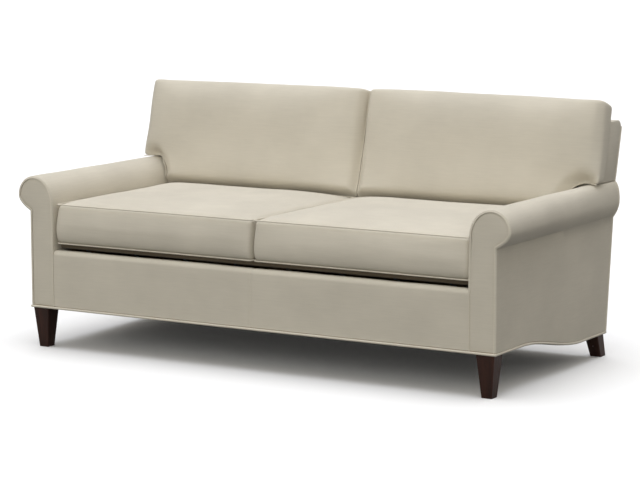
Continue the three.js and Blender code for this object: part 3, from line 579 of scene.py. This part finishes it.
seat = {
    "inner": 0.0065,
    "outer": arm["inner"] - 0.009,
    "front": 0.018,
    "rear": insideFace(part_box("seat_cushion_right")[0].z) - 0.008,
    "bottom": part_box("seat_cushion_right")[0].z,
    "edge": arm["top"] - 0.1,
    "crown": 0.022,
    "bulge": 0.014,
    "sag": 0.6,
    "pull": 0.0008,
    "drawIn": 0.003,
    "corner": 0.014,
    "clear": 0.0026,
    "spans": (0.84, 0.71),
    "slack": 0.0016,
    "passes": 16,
    "voxel": 0.01,
    "welt": 0.0025,
    "weltProud": 0.0026,
}


def remesh(bm, size):
    mesh = bpy.data.meshes.new("block")
    bm.to_mesh(mesh)
    bm.free()
    holder = bpy.data.objects.new("block", mesh)
    scene.collection.objects.link(holder)
    modifier = holder.modifiers.new("voxels", "REMESH")
    modifier.mode = "VOXEL"
    modifier.voxel_size = size
    graph = bpy.context.evaluated_depsgraph_get()
    made = bmesh.new()
    made.from_mesh(holder.evaluated_get(graph).to_mesh())
    bpy.data.objects.remove(holder)
    for _ in range(2):
        bmesh.ops.smooth_vert(made, verts=made.verts, factor=0.5,
                              use_axis_x=True, use_axis_y=True, use_axis_z=True)
    return made


filling = {"quality": 5, "stiffness": 20, "bending": 2.0, "pressure": 4.0, "frames": 20, "cap": 0.01}


# Blows a closed form up like a filled cover: pinned points hold, no point moves further than the cap, and
# each point's way is evened out with that of its neighbours, as batting does under the cloth
def inflate(bm, pinned, passes):
    mesh = bpy.data.meshes.new("cover")
    bm.to_mesh(mesh)
    holder = bpy.data.objects.new("cover", mesh)
    scene.collection.objects.link(holder)
    group = holder.vertex_groups.new(name="seams")
    group.add([v.index for v in bm.verts if pinned(v.co)], 1.0, "REPLACE")
    cover = holder.modifiers.new("inflate", "CLOTH")
    cover.settings.quality = filling["quality"]
    cover.settings.mass = 0.25
    cover.settings.tension_stiffness = filling["stiffness"]
    cover.settings.compression_stiffness = filling["stiffness"]
    cover.settings.shear_stiffness = filling["stiffness"] / 2
    cover.settings.bending_stiffness = filling["bending"]
    cover.settings.use_pressure = True
    cover.settings.uniform_pressure_force = filling["pressure"]
    cover.settings.effector_weights.gravity = 0
    cover.settings.vertex_group_mass = "seams"
    cover.collision_settings.use_collision = False
    cover.point_cache.frame_start = 1
    cover.point_cache.frame_end = filling["frames"]
    for number in range(1, filling["frames"] + 1):
        scene.frame_set(number)
    graph = bpy.context.evaluated_depsgraph_get()
    result = holder.evaluated_get(graph).to_mesh()
    moved = [v.co.copy() for v in result.vertices]
    bpy.data.objects.remove(holder)
    scene.frame_set(1)
    ways = []
    for v, co in zip(bm.verts, moved):
        way = co - v.co
        ways.append(way * min(1, filling["cap"] / max(way.length, 1e-9)))
    free = [v.index for v in bm.verts if not pinned(v.co)]
    near = [[edge.other_vert(v).index for edge in v.link_edges] for v in bm.verts]
    for _ in range(passes):
        evened = [sum((ways[j] for j in near[i]), Vector()) / len(near[i]) for i in free]
        for i, way in zip(free, evened):
            ways[i] = way
    for v, way in zip(bm.verts, ways):
        v.co += way
    bm.normal_update()


def dome(share, power):
    return max(0.0, 1 - abs(2 * share - 1) ** power)


# Rounded rectangle through the seams, drawn in between its corners
def seatRing(z, proud, steps=24):
    x0, x1 = seat["inner"] - proud, seat["outer"] + proud
    y0, y1 = front + seat["front"] - proud, front + seat["rear"] + proud
    r = seat["corner"]
    points = []
    corners = [(x1 - r, y0 + r, -90), (x1 - r, y1 - r, 0), (x0 + r, y1 - r, 90), (x0 + r, y0 + r, 180)]
    for cx, cy, start in corners:
        for i in range(5):
            angle = math.radians(start + 90 * i / 4)
            points.append(Vector((cx + r * math.cos(angle), cy + r * math.sin(angle), z)))
    ring = []
    for a, b in zip(points, points[1:] + points[:1]):
        parts = steps if (b - a).length > 0.1 else 1
        ring += [a.lerp(b, i / parts) for i in range(parts)]
    return [drawnIn(p) for p in ring]


def seatShares(co):
    return ((co.x - seat["inner"]) / (seat["outer"] - seat["inner"]),
            (co.y - front - seat["front"]) / (seat["rear"] - seat["front"]))


def drawnIn(co):
    u, v = seatShares(co)
    return Vector((co.x + (1 - 2 * u) * seat["drawIn"] * dome(v, 2),
                   co.y + (1 - 2 * v) * seat["drawIn"] * dome(u, 2), co.z))


# Rounded block with swelled boxing and a low crown, before it is filled
def seatBlock():
    bm = bmesh.new()
    bmesh.ops.create_cube(bm, size=1)
    low = Vector((seat["inner"], front + seat["front"], seat["bottom"]))
    high = Vector((seat["outer"], front + seat["rear"], seat["edge"]))
    bmesh.ops.translate(bm, verts=bm.verts, vec=(0.5, 0.5, 0.5))
    bmesh.ops.scale(bm, verts=bm.verts, vec=high - low)
    bmesh.ops.translate(bm, verts=bm.verts, vec=low)
    upright = [e for e in bm.edges if abs(e.verts[0].co.z - e.verts[1].co.z) > 0.05]
    bmesh.ops.bevel(bm, geom=upright, offset=seat["corner"], affect="EDGES", segments=4, profile=0.5,
                    material=-1)
    bm = remesh(bm, seat["voxel"])
    bm.normal_update()
    for v in bm.verts:
        u, w = seatShares(v.co)
        rise = min(1, max(0, (v.co.z - seat["bottom"]) / (seat["edge"] - seat["bottom"])))
        level = Vector((v.normal.x, v.normal.y, 0))
        swell = seat["bulge"] * math.sin(math.pi * rise ** seat["sag"]) * (0.35 if level.x < -0.5 else 1)
        v.co = drawnIn(v.co) + level * swell
        if rise > 0.97:
            v.co.z += seat["crown"] * dome(min(1, max(0, u)), 9) * dome(min(1, max(0, w)), 7)
    return bm


def seatSeam(co):
    u, w = seatShares(co)
    width, depth = seat["spans"]
    border = min(u * width, (1 - u) * width, w * depth, (1 - w) * depth)
    size = seat["voxel"]
    upper = abs(co.z - seat["edge"]) < 0.9 * size and border < 1.2 * size
    return upper or co.z < seat["bottom"] + 0.4 * size


def buildSeatCushion(side, sign, filled):
    bm = filled.copy()
    soften(bm, seat["slack"], 0.13, sign * 5.3, lambda co: smooth((co.z - seat["edge"]) / 0.008))
    for v in bm.verts:
        boxing = smooth((v.co.z - seat["bottom"]) / 0.03) * smooth((seat["edge"] - v.co.z) / 0.03)
        pulls = noise.noise(Vector((v.co.x / 0.22, sign * 2.7 + v.co.y / 0.22, v.co.z / 0.018)))
        v.co += v.normal * seat["pull"] * pulls * boxing
        v.co.x = min(arm["inner"] - seat["clear"], max(seat["clear"], v.co.x))
    mirrored(bm, sign)
    cushion = addPiece(f"seatCushion.{side}", bm, "fabric", f"seat_cushion_{side}",
                       (f"seat_cushion_{side}", f"seat_foam_{side}"), 180)
    subdivided(cushion)
    welts = bmesh.new()
    for z in (seat["edge"], seat["bottom"] + seat["welt"]):
        addCord(welts, seatRing(z, seat["weltProud"]), seat["welt"], closed=True)
    mirrored(welts, sign)
    addPiece(f"seatWelt.{side}", welts, "welt_fabric", f"seat_cushion_{side}")
    return cushion


def subdivided(piece):
    modifier = piece.modifiers.new("smooth", "SUBSURF")
    modifier.levels = modifier.render_levels = 1


filledSeat = seatBlock()
inflate(filledSeat, seatSeam, seat["passes"])
filledSeat.normal_update()
seats = {side: buildSeatCushion(side, sign, filledSeat) for side, sign in sides}
print("seat cushions ready")

pillow = {
    "inner": 0.003,
    "low": arm["inner"] - 0.003,
    "ear": arm["outer"] + 0.0195,
    "earZ": arm["top"] + 0.0035,
    "hollow": (0.063, 0.088),
    "height": 0.404,
    "edge": 0.073,
    "crown": 0.032,
    "shoulder": 0.016,
    "armFall": 0.045,
    "narrowing": 0.005,
    "topCrown": 0.005,
    "corner": 0.009,
    "rearCorner": 0.008,
    "earCorner": 0.005,
    "round": 0.02,
    "endRound": (0.045, 0.019),
    "rearRound": 0.003,
    "voxel": 0.0085,
    "welt": 0.0019,
    "weltEnd": 0.004,
    "slack": 0.0016,
    "passes": 24,
    "rest": 0.0008,
    "restBelow": 0.57,
}
# How deep the front is drawn in at each seam, and how far from the seam that fades
tuck = {
    "middle": (0.026, 0.016),
    "foot": (0.048, 0.021),
    "arm": (0.006, 0.01),
    "fold": (0.042, 0.038),
}
rake = math.radians(back["insideRake"])
pillow["z"] = ((seat["edge"] + pillow["rest"]
                - (insideFace(arm["top"]) - seat["rear"]) * math.tan(rake)
                + arm["top"] * math.tan(rake) ** 2) * math.cos(rake) ** 2)
pillow["y"] = insideFace(pillow["z"])
pillow["earHeight"] = (pillow["earZ"] - pillow["z"]) / math.cos(rake)


# Flat outline of the right back cushion as (x, height): bottom, up the arm, round the roll, ear, top
def pillowOutline():
    low, ear, top = pillow["low"], pillow["ear"], pillow["height"]
    wide, tall = pillow["hollow"]
    earHeight, c, e = pillow["earHeight"], pillow["corner"], pillow["earCorner"]
    hollow = Vector((low, earHeight - tall)), Vector((low + wide, earHeight))
    points = [Vector((pillow["inner"], 0)), Vector((low, 0)), hollow[0]]
    points += interpolate_bezier(
        hollow[0], Vector((low, earHeight - tall * (1 - kappa))),
        Vector((low + wide * (1 - kappa), earHeight)), hollow[1], 12)[1:]
    for cx, cy, r, start in ((ear - e, earHeight + e, e, -90), (ear - c, top - c, c, 0)):
        for i in range(7):
            angle = math.radians(start + 90 * i / 6)
            points.append(Vector((cx + r * math.cos(angle), cy + r * math.sin(angle))))
    points.append(Vector((pillow["inner"], top)))
    return points


# From the cushion's own flat frame (x, height, thickness) to its raked place
def raked(co):
    x, h, t = co
    tilt = 1 - smooth(h / 0.1) + smooth((h - 0.2) / 0.2)
    return Vector((
        x * (1 - pillow["narrowing"] * h / pillow["height"]),
        front + pillow["y"] + h * math.sin(rake) - (t + gap) * math.cos(rake),
        pillow["z"] + h * math.cos(rake) + (t + gap) * math.sin(rake) * tilt,
    ))


# The welted part of the front's outline: down the inner side, along the foot, up the arm and under the ear
def frontSeam():
    return [Vector((pillow["inner"], pillow["height"] - pillow["weltEnd"]))] + pillowOutline()[:-14]


weltLine = frontSeam()


def armReach(flat):
    return min(nearOn(flat, a, b) for a, b in zip(weltLine[2:], weltLine[3:]))


# Draws the front in along its seams, and pinches it over the roll of the arm
def tucked(place):
    co = Vector(place)
    flat = Vector((co.x, co.y))
    fold = Vector((pillow["low"] + pillow["hollow"][0] * 1.1, pillow["earHeight"]))
    reaches = {
        "middle": max(0, co.x - pillow["inner"]),
        "foot": max(0, co.y),
        "arm": armReach(flat),
        "fold": (flat - fold).length,
    }
    sunk = 0
    for name, reach in reaches.items():
        depth, width = tuck[name]
        sunk = max(sunk, depth * math.exp(-(reach / width) ** 2))
    share = min(1, co.z / pillow["edge"])
    return Vector((co.x, co.y, co.z - sunk * share ** 3))


# Flat block with a rounded upper front edge and outer end, thicker towards its top, before it is filled
def pillowBlock():
    bm = bmesh.new()
    panel = bm.faces.new([bm.verts.new((p.x, p.y, 0)) for p in pillowOutline()])
    made = bmesh.ops.extrude_face_region(bm, geom=[panel], use_keep_orig=True)["geom"]
    bmesh.ops.translate(bm, verts=vertsOf(made), vec=(0, 0, pillow["edge"]))
    bmesh.ops.recalc_face_normals(bm, faces=bm.faces)

    def wraps(co):
        end = co.x > pillow["ear"] - 0.04 and co.y > pillow["earHeight"] + 0.001
        return co.z > 0.05 and (end or co.y > pillow["height"] - 0.001)

    wrapped = [e for e in bm.edges if all(wraps(v.co) for v in e.verts)]
    bmesh.ops.bevel(bm, geom=wrapped, offset=pillow["round"], affect="EDGES", segments=5, profile=0.5,
                    material=-1, clamp_overlap=True)
    bm = remesh(bm, pillow["voxel"])
    wide = pillow["ear"] - pillow["inner"]
    wideRound, deepRound = pillow["endRound"]
    for v in bm.verts:
        fall = smooth(armReach(Vector((v.co.x, v.co.y))) / pillow["armFall"])
        u = min(1, max(0, (v.co.x - pillow["inner"]) / wide))
        w = min(1, max(0, v.co.y / pillow["height"]))
        t = min(1, max(0, v.co.z / pillow["edge"]))
        thicker = pillow["shoulder"] * smooth((w - 0.25) / 0.55)
        corner = smooth((v.co.x - pillow["ear"] + 0.04) / 0.04) * smooth((w - 0.9) / 0.1) * (1 - t)
        v.co.y += pillow["topCrown"] * dome(u, 6) * w * w * smooth(t * 3) - pillow["rearCorner"] * corner
        v.co.x -= pillow["rearRound"] * smooth((v.co.x - pillow["ear"] + 0.05) / 0.05) * (1 - t) ** 4
        end = smooth((v.co.x - pillow["ear"] + wideRound) / wideRound) ** 2 * smooth((w - 0.2) / 0.5)
        v.co.z += ((thicker + pillow["crown"] * dome(u, 5) * dome(w, 5)) * fall - deepRound * end) * t
    return bm


# The rear panel and the welted seams of the front hold, and the wrapped top and outer end are free
def pillowSeams():
    edges = list(zip(weltLine, weltLine[1:]))
    size = pillow["voxel"]

    def pinned(co):
        if co.z < 0.5 * size:
            return True
        flat = Vector((co.x, co.y))
        level = abs(co.z - pillow["edge"]) < 1.5 * size
        return level and min(nearOn(flat, a, b) for a, b in edges) < size

    return pinned


def buildBackCushion(side, sign, filled):
    bm = filled.copy()
    soften(bm, pillow["slack"], 0.16, sign * 9.1, lambda co: smooth((co.z - 0.03) / 0.05))
    for v in bm.verts:
        v.co.x = max(gap, v.co.x)
        v.co = raked(tucked(v.co))
    settle(bm, seats["right"])
    bm.normal_update()
    mirrored(bm, sign)
    cushion = addPiece(f"backCushion.{side}", bm, "fabric", f"back_cushion_{side}",
                       (f"back_cushion_{side}", f"back_fill_{side}"), 180)
    subdivided(cushion)
    welts = bmesh.new()
    addCord(welts, [raked(tucked((*p, pillow["edge"]))) for p in finer(weltLine)], pillow["welt"])
    mirrored(welts, sign)
    addPiece(f"backWelt.{side}", welts, "welt_fabric", f"back_cushion_{side}")


def nearOn(p, a, b):
    along = b - a
    share = min(1, max(0, (p - a).dot(along) / along.length_squared))
    return (p - a - along * share).length


def finer(points, step=0.02):
    made = [points[0]]
    for a, b in zip(points, points[1:]):
        parts = max(1, round((b - a).length / step))
        made += [a.lerp(b, i / parts) for i in range(1, parts + 1)]
    return made


# Lets the lower edge of a back cushion lie on the seat
def settle(bm, below):
    tree = BVHTree.FromObject(below, bpy.context.evaluated_depsgraph_get())
    for v in bm.verts:
        if v.co.z > pillow["restBelow"]:
            continue
        hit = tree.ray_cast(Vector((v.co.x, v.co.y, 0.7)), Vector((0, 0, -1)))[0]
        if hit and v.co.z < hit.z + pillow["rest"]:
            v.co.z = hit.z + pillow["rest"]


filledPillow = pillowBlock()
inflate(filledPillow, pillowSeams(), pillow["passes"])
filledPillow.normal_update()
for side, sign in sides:
    buildBackCushion(side, sign, filledPillow)
print("back cushions ready")


# Camera worked out from the photo: angles in radians, focal length and centre in its pixels
view = {
    "place": (4.4726, front - 6.9449, 1.6614),
    "yaw": 0.5393,
    "pitch": 0.1374,
    "roll": -0.0022,
    "focal": 2430.1,
    "centre": (328.6, 222.9),
    "frame": (640, 480),
}
cameraData = bpy.data.cameras.new("camera")
camera = bpy.data.objects.new("camera", cameraData)
scene.collection.objects.link(camera)
scene.camera = camera
cameraData.sensor_width = 36
cameraData.lens = view["focal"] / view["frame"][0] * 36
cameraData.shift_x = (view["frame"][0] / 2 - view["centre"][0]) / view["frame"][0]
cameraData.shift_y = (view["centre"][1] - view["frame"][1] / 2) / view["frame"][0]
cameraData.clip_end = 200
forward = Vector((
    -math.sin(view["yaw"]) * math.cos(view["pitch"]),
    math.cos(view["yaw"]) * math.cos(view["pitch"]),
    -math.sin(view["pitch"]),
))
camera.matrix_world = (
    Matrix.Translation(view["place"])
    @ forward.to_track_quat("-Z", "Y").to_matrix().to_4x4()
    @ Matrix.Rotation(view["roll"], 4, "Z")
)

light = {
    "sunStrength": 1.3,
    "sunColour": (0.94, 1.0, 1.15),
    "sunFrom": (-0.05, 0.05, 1.0),
    "sunAngle": 60,
    "fillStrength": 1.47,
    "fillColour": (1.0, 1.0, 0.96),
    "fillFrom": (0.22, -1.0, 0.08),
    "fillAngle": 70,
    "worldLow": 0.22,
    "worldHigh": 0.93,
    "worldColour": (1.0, 0.96, 0.885, 1),
    "floorColour": 0.13,
    "floorSeen": 1.0,
    "floorGlow": 0.004,
    "floorSize": 160,
}
for kind in ("sun", "fill"):
    lampData = bpy.data.lights.new(f"{kind}Light", "SUN")
    lampData.energy = light[f"{kind}Strength"]
    lampData.color = light[f"{kind}Colour"]
    lampData.angle = math.radians(light[f"{kind}Angle"])
    lamp = bpy.data.objects.new(f"{kind}Light", lampData)
    lamp.matrix_world = (-Vector(light[f"{kind}From"])).to_track_quat("-Z", "Y").to_matrix().to_4x4()
    scene.collection.objects.link(lamp)

world = bpy.data.worlds.new("studio")
scene.world = world
world.use_nodes = True
sky = world.node_tree
sky.nodes.clear()
rays = node(sky, "LightPath")
height = node(sky, "SeparateXYZ", {0: node(sky, "TexCoord").outputs["Generated"]}).outputs["Z"]
ambient = node(sky, "Background", {
    "Color": light["worldColour"], "Strength": ramp(sky, height, light["worldLow"], light["worldHigh"]),
})
seen = node(sky, "Background", {"Color": (1, 1, 1, 1), "Strength": 1.0})
either = maths(sky, "MAXIMUM", rays.outputs["Is Camera Ray"],
               maths(sky, "MAXIMUM", rays.outputs["Is Glossy Ray"], rays.outputs["Is Transmission Ray"]))
both = node(sky, "MixShader", {0: either, 1: ambient.outputs[0], 2: seen.outputs[0]})
node(sky, "OutputWorld", {"Surface": both.outputs[0]})

floorMaterial = bpy.data.materials.new("studioFloor")
floorMaterial.use_nodes = True
tree = floorMaterial.node_tree
tree.nodes.clear()
rays = node(tree, "LightPath")
hidden = node(tree, "BsdfDiffuse", {"Color": shade((1, 1, 1), light["floorColour"])})
shown = node(tree, "BsdfDiffuse", {"Color": shade((1, 1, 1), light["floorSeen"])})
glow = node(tree, "Emission", {"Strength": light["floorGlow"]})
lit = node(tree, "AddShader", {0: shown.outputs[0], 1: glow.outputs[0]})
either = maths(tree, "MAXIMUM", rays.outputs["Is Camera Ray"], rays.outputs["Is Glossy Ray"])
both = node(tree, "MixShader", {0: either, 1: hidden.outputs[0], 2: lit.outputs[0]})
node(tree, "OutputMaterial", {"Surface": both.outputs[0]})

bm = bmesh.new()
bmesh.ops.create_grid(bm, x_segments=1, y_segments=1, size=light["floorSize"] / 2)
floorMesh = bpy.data.meshes.new("floor")
bm.to_mesh(floorMesh)
bm.free()
floorMesh.materials.append(floorMaterial)
floor = bpy.data.objects.new("floor", floorMesh)
scene.collection.objects.link(floor)

scene.view_settings.view_transform = "Standard"
